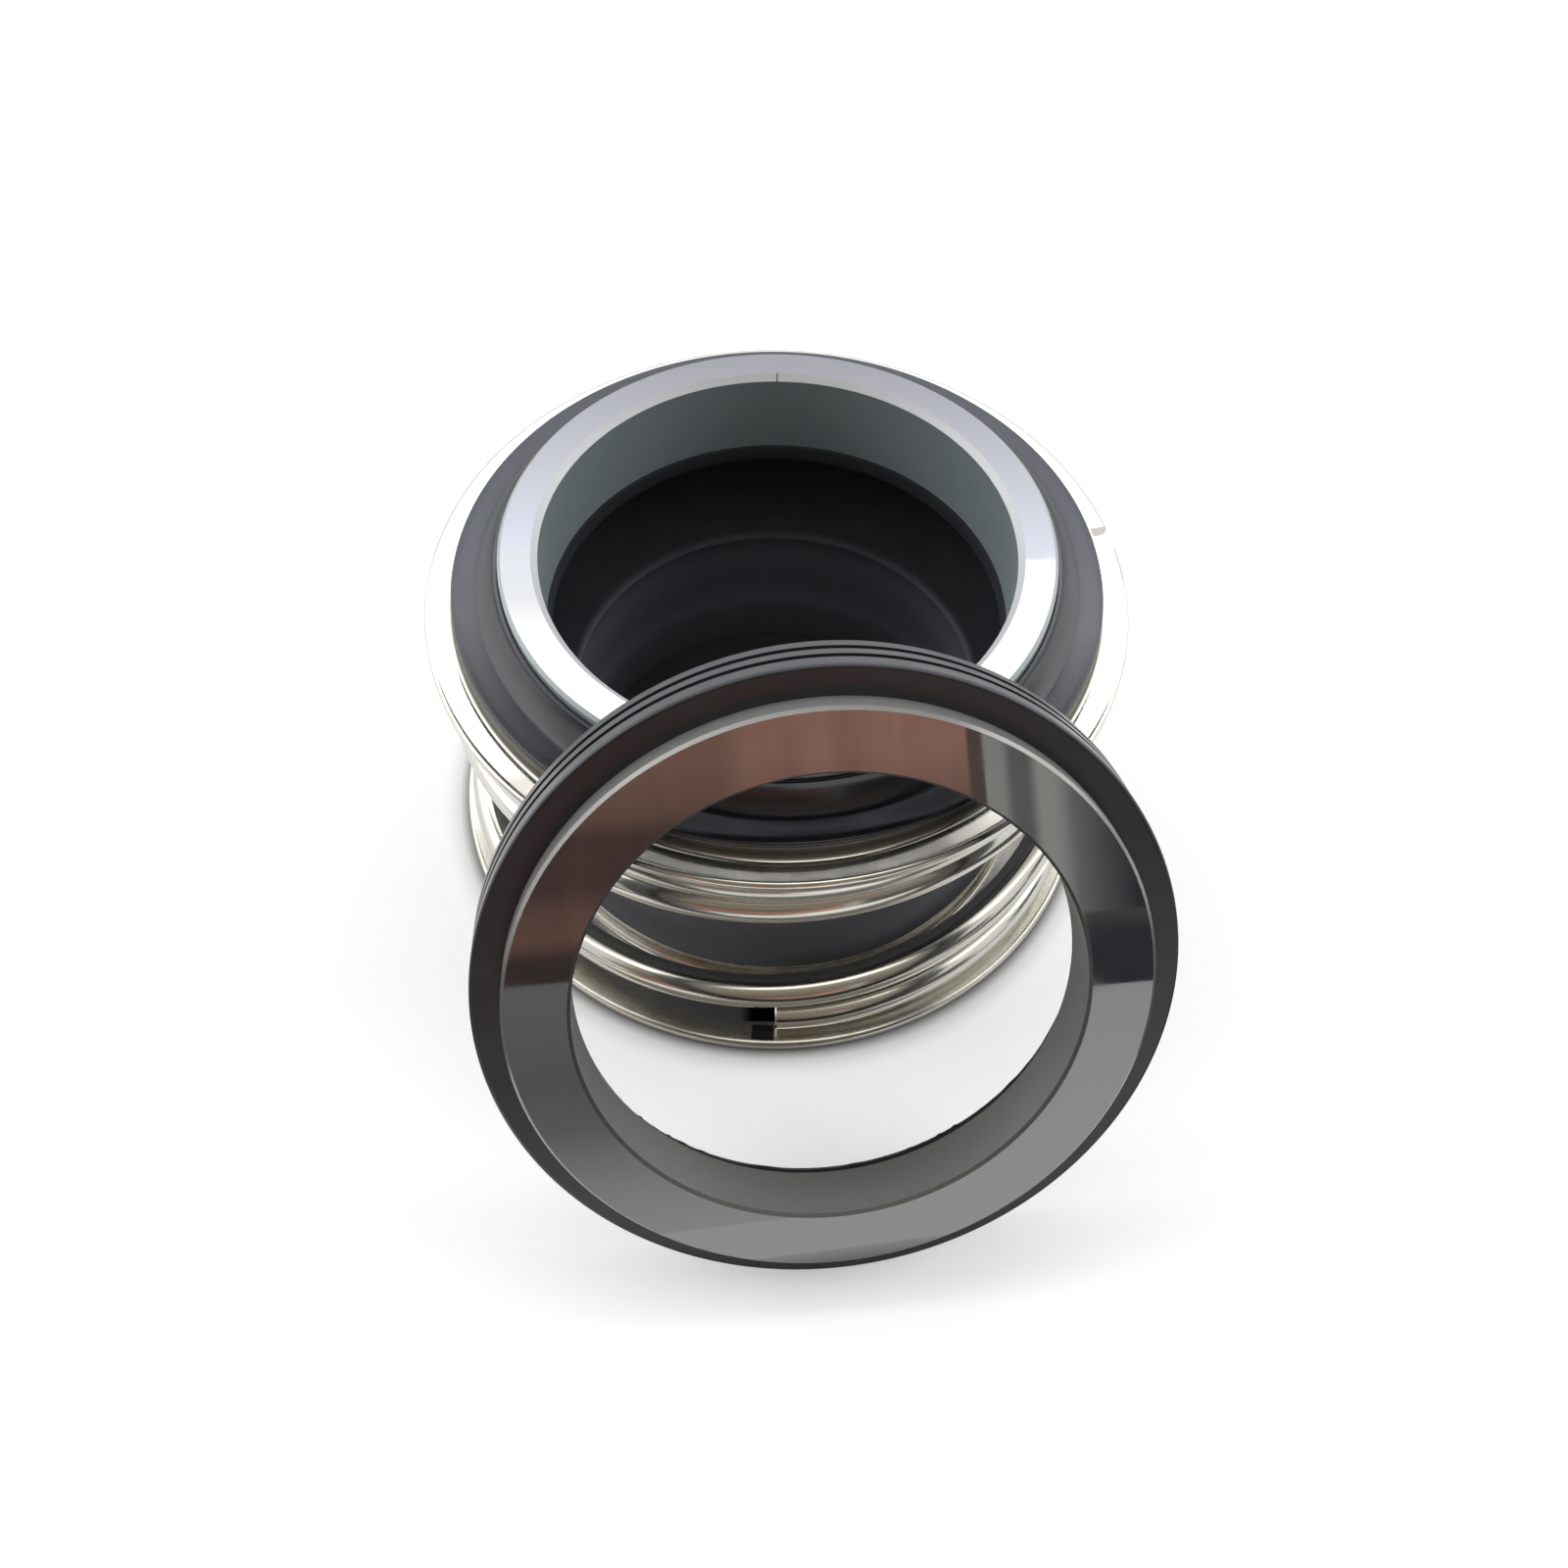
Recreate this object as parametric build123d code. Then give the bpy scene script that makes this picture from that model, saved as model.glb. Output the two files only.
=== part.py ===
from build123d import *
import math
import os

# Component mechanical seal for a 38 mm shaft, in millimetres, +Z up.
# The rotating unit stands on its lower spring ring. The mating seat stands on its back edge in
# front of it and leans back, so far that the plane of its back just clears the upper spring
# ring's rim, which stands across the seat's open bore.
# The origin is the centre of the bellows' tail bore, in the plane that both stand on.

# Shaft and carbide face ring
shaft_r = 19.0
face_clearance = 1.6
tail_grip = 0.1
face_width = 3.4
face_height = 8.6
face_inner_chamfer = 0.55
face_outer_chamfer = 0.3
free_height = 35.0

# Pressed spring rings: an upright leg and an outward flange
sheet = 1.2
collar_width = 4.4
upper_flange_width = 2.6
tail_width = 5.1
upper_leg_height = 2.7
lower_leg_height = 3.2
bend_inner_r = 0.6
heel_r = 1.0
rim_round = 0.45
leg_round = 0.2
slot_width = 2.7
slot_depth = 1.7
slot_bearing = 12.8
window_width = 2.0
window_depth = 1.5
window_edge = 0.5
window_bearing = -90.6

# Coil spring with closed ends
wire_d = 3.0
coil_rim_margin = 1.0
coil_start_bearing = -88.4
closed_pitch = 3.15
lower_closed_turn = 265.0
upper_closed_turn = 416.0
pitch_change_turn = 140.0
active_turn = 220.0
point_step = 20.0

# Rubber bellows
proud = 0.9
collar_lip = 0.45
collar_drop = 3.6
land_width = 2.2
land_fall = 0.3
collar_hollow_r = 2.2
back_shelf = 1.6
back_shelf_bore_r = 20.3
waist_clearance = 0.7
bulge_low_z = 17.6
tail_top_z = 12.6
wall = 2.3
shoulder_z = 16.4
shoulder_r = 1.3
grip_length = 5.8
relief = 0.4
relief_rise = 0.6
mould_round = 0.25

# Stationary seat: carbide ring in a rubber cup
seat_clearance = 0.8
seat_width = 5.2
seat_depth = 6.95
seat_face_chamfer = 0.25
cup_wall = 2.4
cup_front_step = 1.95
cup_back_wall = 1.6
cup_bore_relief = 0.8
cup_back_round = 0.5
cup_front_round = 0.3
rib_groove = 0.5
rib_groove_width = 0.65
front_rib_width = 1.4
middle_rib_width = 0.9
seat_bearing = 7.3
seat_tilt = 60.6

# Clearances between pieces that move apart
fit_gap = 0.1
coil_gap = 0.05
lean_gap = 0.3

# Heights and radii that follow from the sizes above
face_bore_r = shaft_r + face_clearance
face_outer_r = face_bore_r + face_width
face_back_z = free_height - face_height
tail_bore_r = shaft_r - tail_grip
tail_outer_r = shaft_r + tail_width
lower_leg_outer_r = tail_outer_r
upper_leg_outer_r = face_outer_r + collar_width
flange_r = upper_leg_outer_r + upper_flange_width
wire_r = wire_d / 2
coil_mean_r = flange_r - coil_rim_margin - wire_r
waist_r = coil_mean_r - wire_r - waist_clearance
collar_edge_height = free_height - collar_drop
upper_leg_top_z = collar_edge_height - collar_lip
flange_under_z = upper_leg_top_z - upper_leg_height
flange_top_z = flange_under_z + sheet
coil_low_z = sheet + wire_r + coil_gap
coil_high_z = flange_under_z - wire_r - fit_gap
seat_bore_r = shaft_r + seat_clearance
seat_outer_r = seat_bore_r + seat_width
cup_outer_r = seat_outer_r + cup_wall
cup_bore_r = seat_bore_r + cup_bore_relief


def polar(radius, bearing, height=0.0):
    """A point at a radius and a bearing in degrees from +X, seen from above."""
    angle = math.radians(bearing)
    return (radius * math.cos(angle), radius * math.sin(angle), height)


def turned(outline):
    """Turns a closed outline, drawn as (radius, height), about Z."""
    return revolve(Plane.XZ * make_face(outline), axis=Axis.Z)


def closed(points):
    """A closed run of straight lines."""
    return Polyline(*points, close=True)


def corner_faces(points, rounds):
    """A face with straight sides and the given corners rounded, as {index: radius}."""
    face = make_face(closed(points))
    for index, radius in rounds.items():
        x, y = points[index]
        near = face.vertices().sort_by_distance(Vector(x, y, 0))[0]
        face = fillet(near, radius)
    return face


def face_ring():
    """The lapped carbide ring, with a chamfer at each edge of its face."""
    points = [
        (face_bore_r, face_back_z),
        (face_outer_r, face_back_z),
        (face_outer_r, free_height - face_outer_chamfer),
        (face_outer_r - face_outer_chamfer, free_height),
        (face_bore_r + face_inner_chamfer, free_height),
        (face_bore_r, free_height - face_inner_chamfer),
    ]
    return turned(closed(points))


def spring_ring(leg_outer_r, leg_height):
    """One pressed ring with its flange's underside at height 0 and its leg upward."""
    leg_inner_r = leg_outer_r - sheet
    points = [
        (leg_inner_r, 0),
        (flange_r, 0),
        (flange_r, sheet),
        (leg_outer_r, sheet),
        (leg_outer_r, leg_height),
        (leg_inner_r, leg_height),
    ]
    rounds = {0: heel_r, 1: rim_round, 2: rim_round, 3: bend_inner_r, 4: leg_round, 5: leg_round}
    return revolve(Plane.XZ * corner_faces(points, rounds), axis=Axis.Z)


def upper_spring_ring():
    """The ring round the head, with an open slot in its rim."""
    ring = Pos(0, 0, flange_under_z) * spring_ring(upper_leg_outer_r, upper_leg_height)
    slot = Box(2 * slot_depth, slot_width, 3 * sheet)
    place = Pos(polar(flange_r, slot_bearing, flange_under_z)) * Rot(0, 0, slot_bearing)
    return ring - place * slot


def lower_spring_ring():
    """The ring round the tail, with a square window beside the wire's end."""
    ring = spring_ring(lower_leg_outer_r, lower_leg_height)
    window = Box(window_depth, window_width, 3 * sheet)
    window_r = flange_r - window_edge - window_depth / 2
    place = Pos(polar(window_r, window_bearing)) * Rot(0, 0, window_bearing)
    return ring - place * window


def coil_turn():
    """The whole turn of the spring in degrees, from end to end."""
    return lower_closed_turn + 2 * pitch_change_turn + active_turn + upper_closed_turn


def active_pitch():
    """The pitch between the closed ends that makes the ends meet both rings."""
    rise = coil_high_z - coil_low_z
    closed_rise = closed_pitch * (lower_closed_turn + upper_closed_turn + pitch_change_turn) / 360
    return 360 * (rise - closed_rise) / (pitch_change_turn + active_turn)


def coil_height(turn):
    """The height of the wire's centre after a turn in degrees from the lower end."""
    open_pitch = active_pitch()
    height = coil_low_z + closed_pitch * turn / 360
    extra = open_pitch - closed_pitch
    up = min(max(turn - lower_closed_turn, 0), pitch_change_turn)
    level = min(max(turn - lower_closed_turn - pitch_change_turn, 0), active_turn)
    down = min(max(turn - lower_closed_turn - pitch_change_turn - active_turn, 0), pitch_change_turn)
    height += extra * up * up / (2 * pitch_change_turn) / 360
    height += extra * level / 360
    height += extra * (down - down * down / (2 * pitch_change_turn)) / 360
    return height


def coil_spring():
    """Round wire wound to the right, closed at both ends and cut square."""
    whole = coil_turn()
    count = round(whole / point_step)
    turns = [whole * index / count for index in range(count + 1)]
    points = [polar(coil_mean_r, coil_start_bearing + turn, coil_height(turn)) for turn in turns]
    path = Spline(*points)
    section = Plane(origin=path @ 0, z_dir=path % 0) * Circle(wire_r)
    return sweep(section, path=path, is_frenet=True)


def bellows():
    """The moulded rubber head, its one fold and its tail, in one piece."""
    collar_inner_r = face_outer_r + fit_gap
    collar_outer_r = upper_leg_outer_r - sheet - fit_gap
    collar_top_z = free_height - proud
    land_inner_r = upper_leg_outer_r - land_width
    land_inner_z = collar_edge_height + land_fall
    shelf_top_z = face_back_z - fit_gap
    shelf_low_z = shelf_top_z - back_shelf
    fold_inner_r = waist_r - wall
    tail_seat_r = lower_leg_outer_r - sheet
    relief_r = tail_bore_r + relief
    lip_under_z = upper_leg_top_z + fit_gap
    ramp_low_z = flange_under_z - fit_gap
    outer_lower = [
        (tail_bore_r, 0),
        (tail_seat_r, 0),
        (tail_seat_r, lower_leg_height),
        (tail_outer_r, lower_leg_height),
        (tail_outer_r, tail_top_z),
    ]
    outer_bulge = Spline(
        (tail_outer_r, tail_top_z),
        (waist_r, bulge_low_z),
        tangents=[(0, 1), (0, 1)],
    )
    outer_upper = [
        (waist_r, bulge_low_z),
        (waist_r, ramp_low_z),
        (collar_outer_r, flange_under_z + heel_r),
        (collar_outer_r, lip_under_z),
        (upper_leg_outer_r, lip_under_z),
        (upper_leg_outer_r, collar_edge_height),
        (land_inner_r, land_inner_z),
    ]
    hollow = Spline(
        (land_inner_r, land_inner_z),
        (collar_inner_r, collar_top_z),
        tangents=[(-collar_hollow_r, land_fall), (-land_fall, 1)],
    )
    inner_upper = [
        (collar_inner_r, collar_top_z),
        (collar_inner_r, shelf_top_z),
        (back_shelf_bore_r, shelf_top_z),
        (back_shelf_bore_r, shelf_low_z),
    ]
    fold_roof = Spline(
        (back_shelf_bore_r, shelf_low_z),
        (fold_inner_r, (shelf_low_z + shoulder_z) / 2),
        (tail_bore_r + shoulder_r, shoulder_z),
        tangents=[(1, -0.3), (-1, -0.3)],
    )
    shoulder = RadiusArc(
        (tail_bore_r + shoulder_r, shoulder_z),
        (tail_bore_r, shoulder_z - shoulder_r),
        -shoulder_r,
    )
    inner_lower = [
        (tail_bore_r, shoulder_z - shoulder_r),
        (relief_r, shoulder_z - shoulder_r - relief_rise),
        (relief_r, grip_length + relief_rise),
        (tail_bore_r, grip_length),
        (tail_bore_r, 0),
    ]
    outline = [
        Polyline(*outer_lower),
        outer_bulge,
        Polyline(*outer_upper),
        hollow,
        Polyline(*inner_upper),
        fold_roof,
        shoulder,
        Polyline(*inner_lower),
    ]
    face = make_face(Curve() + outline)
    rim = Vector(upper_leg_outer_r, collar_edge_height, 0)
    near = face.vertices().sort_by_distance(rim)[0]
    face = fillet(near, mould_round)
    return revolve(Plane.XZ * face, axis=Axis.Z)


def seat_place():
    """Where the seat stands: on its back edge, its back just clear of the upper ring's rim."""
    lean_sine = math.sin(math.radians(seat_tilt))
    lean_cosine = math.cos(math.radians(seat_tilt))
    edge_r = cup_outer_r - cup_back_round
    drop = edge_r * lean_sine + cup_back_round - cup_back_round * lean_cosine
    rise = flange_top_z - drop
    reach = flange_r + (rise * lean_cosine + lean_gap) / lean_sine
    return Rot(0, 0, seat_bearing) * Pos(0, -reach, drop) * Rot(seat_tilt, 0, 0)


def seat_ring():
    """The lapped carbide seat, with its back on the cup's floor."""
    points = [
        (seat_bore_r, cup_back_wall),
        (seat_outer_r, cup_back_wall),
        (seat_outer_r, seat_depth - seat_face_chamfer),
        (seat_outer_r - seat_face_chamfer, seat_depth),
        (seat_bore_r + seat_face_chamfer, seat_depth),
        (seat_bore_r, seat_depth - seat_face_chamfer),
    ]
    return turned(closed(points))


def seat_cup():
    """The rubber cup round the seat's edge and back, with ribs round the outside."""
    front_z = seat_depth - cup_front_step
    first_groove_z = front_z - front_rib_width
    second_groove_z = first_groove_z - rib_groove_width - middle_rib_width
    points = [
        (cup_bore_r, 0),
        (cup_outer_r, 0),
        (cup_outer_r, front_z),
        (seat_outer_r, front_z),
        (seat_outer_r, cup_back_wall),
        (cup_bore_r, cup_back_wall),
    ]
    face = corner_faces(points, {1: cup_back_round, 2: cup_front_round})
    for groove_z in (first_groove_z, second_groove_z):
        middle = (cup_outer_r, groove_z - rib_groove_width / 2)
        face -= Pos(*middle) * Ellipse(rib_groove, rib_groove_width / 2)
    return revolve(Plane.XZ * face, axis=Axis.Z)


os.makedirs("parts", exist_ok=True)
pieces = {
    "face_ring": face_ring(),
    "bellows": bellows(),
    "upper_spring_ring": upper_spring_ring(),
    "coil_spring": coil_spring(),
    "lower_spring_ring": lower_spring_ring(),
    "seat_ring": seat_place() * seat_ring(),
    "seat_cup": seat_place() * seat_cup(),
}
for name, piece in pieces.items():
    export_step(piece, f"parts/{name}.step")
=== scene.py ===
import math

import bpy
from mathutils import Matrix, Vector


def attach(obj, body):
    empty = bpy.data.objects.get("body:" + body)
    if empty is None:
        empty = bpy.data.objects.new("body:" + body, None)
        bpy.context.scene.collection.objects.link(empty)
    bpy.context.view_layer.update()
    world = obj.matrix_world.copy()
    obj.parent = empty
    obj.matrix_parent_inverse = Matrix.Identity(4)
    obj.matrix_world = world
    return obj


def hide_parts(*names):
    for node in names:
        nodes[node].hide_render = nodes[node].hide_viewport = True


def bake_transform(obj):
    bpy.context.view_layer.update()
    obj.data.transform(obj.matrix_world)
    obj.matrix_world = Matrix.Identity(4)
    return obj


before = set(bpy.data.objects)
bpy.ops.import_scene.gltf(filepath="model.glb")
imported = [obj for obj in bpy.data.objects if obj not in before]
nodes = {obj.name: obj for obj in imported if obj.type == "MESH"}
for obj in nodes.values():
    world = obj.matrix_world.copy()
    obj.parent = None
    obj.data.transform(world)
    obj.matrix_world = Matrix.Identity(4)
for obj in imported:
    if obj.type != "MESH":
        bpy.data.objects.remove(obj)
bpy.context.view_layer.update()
scene = bpy.context.scene
MM = 0.001

# Sizes that the pieces made here share with the solids, in millimetres
WIRE_R = 1.5
COIL_R = 28.5
COIL_START = -88.4
COIL_LOW = 2.75
COIL_HIGH = 26.65
CLOSED_PITCH = 3.15
LOWER_CLOSED = 265.0
UPPER_CLOSED = 416.0
PITCH_CHANGE = 140.0
ACTIVE = 220.0
WIRE_BEVEL = 0.14
SHEET = 1.2
FLANGE_R = 31.0
RIM_ROUND = 0.45
COLLAR_LOW = 28.0
CUP_BORE_R = 20.6
CUP_R = 27.4
LAPPED_MIDDLE_R = 22.5
SEAT_NORMAL = Vector((0.1107004, -0.8641521, 0.4909038))
SEAT_BACK = Vector((4.3951, -34.3095, 23.6902))

# The dark mark on the face ring, in millimetres
MARK_LEFT = 0.55
MARK_HALF_WIDTH = 0.09

CARBIDE_IOR = 2.62
RUBBER_IOR = 1.69


# Node helpers

def new_material(name):
    """A material with only its shader and output, and the three handles needed to build it."""
    material = bpy.data.materials.new(name)
    material.use_nodes = True
    tree = material.node_tree
    shader = tree.nodes["Principled BSDF"]
    return material, tree, shader


def add(tree, kind, inputs=None, **settings):
    """Adds a node, with its settings and its input values or links."""
    node = tree.nodes.new(kind)
    for key, value in settings.items():
        setattr(node, key, value)
    for key, value in (inputs or {}).items():
        socket = node.inputs[key]
        if isinstance(value, bpy.types.NodeSocket):
            tree.links.new(value, socket)
        else:
            socket.default_value = value
    return node


def maths(tree, operation, first, second=0.0, clamp=False):
    """One step of arithmetic."""
    return add(tree, "ShaderNodeMath", {0: first, 1: second}, operation=operation, use_clamp=clamp).outputs[0]


def product(tree, *values):
    """Several values multiplied together."""
    result = values[0]
    for value in values[1:]:
        result = maths(tree, "MULTIPLY", result, value)
    return result


def weighted(tree, first, first_share, second, second_share):
    """The sum of two values, each times its share."""
    return maths(tree, "ADD", product(tree, first, first_share), product(tree, second, second_share))


def vector_maths(tree, operation, first, second):
    """One step of arithmetic on vectors."""
    return add(tree, "ShaderNodeVectorMath", {0: first, 1: second}, operation=operation).outputs[0]


def dot_product(tree, first, second):
    """The dot product of two vectors."""
    return add(tree, "ShaderNodeVectorMath", {0: first, 1: second}, operation="DOT_PRODUCT").outputs["Value"]


def spread(tree, value, low, high, to_low=0.0, to_high=1.0, smooth=True):
    """Maps a range of values to another, with a soft start and end."""
    kind = "SMOOTHSTEP" if smooth else "LINEAR"
    inputs = {"Value": value, "From Min": low, "From Max": high, "To Min": to_low, "To Max": to_high}
    return add(tree, "ShaderNodeMapRange", inputs, interpolation_type=kind).outputs[0]


def noise(tree, vector, scale, detail=3.0, rough=0.55):
    """Plain noise, from 0 to 1."""
    inputs = {"Vector": vector, "Scale": scale, "Detail": detail, "Roughness": rough}
    return add(tree, "ShaderNodeTexNoise", inputs).outputs["Fac"]


def blend_colour(tree, share, first, second):
    """A colour between two."""
    node = add(tree, "ShaderNodeMix", data_type="RGBA")
    for index, value in ((0, share), (6, first), (7, second)):
        if isinstance(value, bpy.types.NodeSocket):
            tree.links.new(value, node.inputs[index])
        else:
            node.inputs[index].default_value = value
    return node.outputs[2]


def ring_space(tree, turn=None, middle=(0, 0, 0)):
    """Radius, height and a vector that runs round a ring, in millimetres in the ring's own frame."""
    place = add(tree, "ShaderNodeTexCoord").outputs["Object"]
    scaled = vector_maths(tree, "MULTIPLY", place, (1000, 1000, 1000))
    if turn is not None:
        moved = vector_maths(tree, "SUBTRACT", scaled, middle)
        rows = [dot_product(tree, moved, tuple(axis)) for axis in turn]
        scaled = add(tree, "ShaderNodeCombineXYZ", {0: rows[0], 1: rows[1], 2: rows[2]}).outputs[0]
    parts = add(tree, "ShaderNodeSeparateXYZ", {0: scaled})
    flat = add(tree, "ShaderNodeCombineXYZ", {0: parts.outputs[0], 1: parts.outputs[1]}).outputs[0]
    radius = add(tree, "ShaderNodeVectorMath", {0: flat}, operation="LENGTH").outputs["Value"]
    axis = (0, 0, 1) if turn is None else tuple(turn[2])
    along = dot_product(tree, add(tree, "ShaderNodeTexCoord").outputs["Normal"], axis)
    return {
        "place": scaled,
        "radius": radius,
        "height": parts.outputs[2],
        "flat": spread(tree, maths(tree, "ABSOLUTE", along), 0.6, 0.8),
        "x": parts.outputs[0],
        "y": parts.outputs[1],
    }


def turned_lines(tree, ring, scale, detail=3.0, rough=0.6):
    """Lines that run round a ring, by radius on its flats and by height on its walls."""
    on_flat = add(tree, "ShaderNodeCombineXYZ", {0: ring["radius"], 1: 0.0, 2: 3.0}).outputs[0]
    on_wall = add(tree, "ShaderNodeCombineXYZ", {0: 7.0, 1: 0.0, 2: ring["height"]}).outputs[0]
    wall_share = maths(tree, "SUBTRACT", 1.0, ring["flat"])
    by_radius = noise(tree, on_flat, scale, detail, rough)
    by_height = noise(tree, on_wall, scale, detail, rough)
    return weighted(tree, ring["flat"], by_radius, wall_share, by_height)


def bump(tree, shader, height, distance, strength=1.0):
    """Fine relief on the shader's normal, with its depth in metres."""
    node = add(tree, "ShaderNodeBump", {"Height": height, "Distance": distance, "Strength": strength})
    tree.links.new(node.outputs[0], shader.inputs["Normal"])


def facing(tree, direction, low, high):
    """How far the surface faces a direction of the object's own frame."""
    normal = add(tree, "ShaderNodeTexCoord").outputs["Normal"]
    return spread(tree, dot_product(tree, normal, tuple(direction)), low, high)


# Materials

def fine_mark(tree, ring):
    """A thin dark mark across the bore edge of the face ring, at its back."""
    near = maths(tree, "LESS_THAN", maths(tree, "ABSOLUTE", maths(tree, "ADD", ring["x"], MARK_LEFT)), MARK_HALF_WIDTH)
    far = maths(tree, "GREATER_THAN", ring["y"], 20.0)
    band = maths(tree, "LESS_THAN", ring["radius"], 21.75)
    top = maths(tree, "GREATER_THAN", ring["height"], 34.3)
    return product(tree, near, far, band, top)


def carbide(name, direction, tones, place=(None, (0, 0, 0)), mark=False, bright_side=1, edge_rough=0.0):
    """Silicon carbide: the face towards direction is lapped to a mirror, the walls are ground matt.

    The tones are the dull and the bright one of the ground walls, and the one of the chamfer, which on the face ring
    is light as a painted highlight.
    That chamfer is the one at the rim, or the one at the bore where bright_side is -1.
    """
    dull, bright, chamfer = tones
    material, tree, shader = new_material(name)
    ring = ring_space(tree, *place)
    lapped = facing(tree, direction, 0.93, 0.985)
    side = product(tree, ring["radius"], bright_side)
    rim = maths(tree, "GREATER_THAN", side, LAPPED_MIDDLE_R * bright_side)
    bevel = maths(tree, "SUBTRACT", facing(tree, direction, 0.35, 0.55), lapped, True)
    edge = product(tree, bevel, rim)
    grain = noise(tree, ring["place"], 9.0, 4.0, 0.7)
    cloud = noise(tree, ring["place"], 0.35, 2.0)
    ground_tone = blend_colour(tree, grain, dull, bright)
    lapped_tone = blend_colour(tree, cloud, (0.024, 0.025, 0.027, 1), (0.038, 0.039, 0.041, 1))
    tone = blend_colour(tree, lapped, ground_tone, lapped_tone)
    # Painted highlight: the chamfer has its own tone, light on the face ring.
    tone = blend_colour(tree, edge, tone, chamfer)
    if edge_rough:
        bore_edge = product(tree, bevel, maths(tree, "SUBTRACT", 1.0, rim))
        tone = blend_colour(tree, bore_edge, tone, (0.085, 0.085, 0.083, 1))
        tree.links.new(bore_edge, shader.inputs["Metallic"])
    if mark:
        tone = blend_colour(tree, product(tree, fine_mark(tree, ring), 0.8), tone, (0.012, 0.012, 0.014, 1))
    tree.links.new(tone, shader.inputs["Base Color"])
    fine = turned_lines(tree, ring, 6.0)
    ground_rough = spread(tree, fine, 0.3, 0.7, 0.40, 0.54)
    lapped_rough = spread(tree, cloud, 0.3, 0.7, 0.015, 0.035)
    matt = maths(tree, "SUBTRACT", 1.0, lapped)
    rough = weighted(tree, matt, ground_rough, lapped, lapped_rough)
    if edge_rough:
        rough = maths(tree, "SUBTRACT", rough, product(tree, edge, edge_rough))
    tree.links.new(rough, shader.inputs["Roughness"])
    shader.inputs["IOR"].default_value = CARBIDE_IOR
    relief = product(tree, matt, weighted(tree, fine, 0.7, grain, 0.5))
    bump(tree, shader, relief, 0.00001, 0.6)
    return material


def rubber(name, base, worn, place=(None, (0, 0, 0)), rough=(0.28, 0.36), inside=None):
    """Moulded nitrile rubber: satin, with the mould's turning marks and a little dust.

    With a tone for its inside, it is the bellows: free of dust and dull in the bore and below the collar, with painted
    shade there, lighter below the fold as painted light, and near black as painted shade where the collar stands in
    the seat's shade.
    """
    material, tree, shader = new_material(name)
    ring = ring_space(tree, *place)
    cloud = noise(tree, ring["place"], 0.22, 3.0)
    speck = noise(tree, ring["place"], 5.5, 3.0, 0.7)
    turned = turned_lines(tree, ring, 2.6, 3.0, 0.7)
    dust = spread(tree, speck, 0.66, 0.78)
    tone = blend_colour(tree, spread(tree, cloud, 0.25, 0.75), base, worn)
    tone = blend_colour(tree, product(tree, dust, 0.12), tone, (0.10, 0.10, 0.105, 1))
    gloss = spread(tree, weighted(tree, cloud, 0.6, turned, 0.4), 0.3, 0.7, *rough)
    if inside is not None:
        in_bore = maths(tree, "LESS_THAN", ring["radius"], 24.6)
        dust_free_and_shaded = product(tree, in_bore, maths(tree, "LESS_THAN", ring["height"], 26.9))
        low = spread(tree, ring["height"], COLLAR_LOW + 0.6, COLLAR_LOW)
        deep = product(tree, dust_free_and_shaded, spread(tree, ring["height"], 16.2, 15.2))
        collar = spread(tree, ring["height"], COLLAR_LOW, COLLAR_LOW + 0.6)
        front = product(tree, spread(tree, ring["y"], -19.0, -24.0), collar)
        # Painted shade: the bore and the skin below the collar take the darker, dust-free inside tone.
        tone = blend_colour(tree, maths(tree, "MAXIMUM", dust_free_and_shaded, low), tone, inside)
        # Painted light: a much lighter tone below the fold, for light reaching deep into the bore.
        tone = blend_colour(tree, deep, tone, (0.125, 0.128, 0.146, 1))
        # Painted shade: near black where the collar stands in the seat's shade.
        tone = blend_colour(tree, product(tree, front, 0.8), tone, (0.002, 0.002, 0.003, 1))
        gloss = maths(tree, "ADD", gloss, product(tree, dust_free_and_shaded, 0.62))
        gloss = maths(tree, "SUBTRACT", gloss, product(tree, front, 0.12))
    tree.links.new(tone, shader.inputs["Base Color"])
    tree.links.new(gloss, shader.inputs["Roughness"])
    shader.inputs["IOR"].default_value = RUBBER_IOR
    shader.inputs["Specular Tint"].default_value = (0.93, 0.945, 1.0, 1)
    pores = noise(tree, ring["place"], 14.0, 2.0, 0.6)
    bump(tree, shader, weighted(tree, turned, 0.55, pores, 0.25), 0.00002, 0.5)
    return material


def painted_wire_end_shade(tree, ring):
    """The patch beside the wire's lower end, above the window, that painted shade makes dark."""
    across = product(tree, spread(tree, ring["x"], -2.6, -1.3), spread(tree, ring["x"], 0.9, 0.8))
    outward = product(tree, spread(tree, ring["y"], -28.75, -28.55), spread(tree, ring["y"], -26.5, -27.2))
    return product(tree, across, outward, maths(tree, "GREATER_THAN", ring["height"], 0.9))


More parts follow.
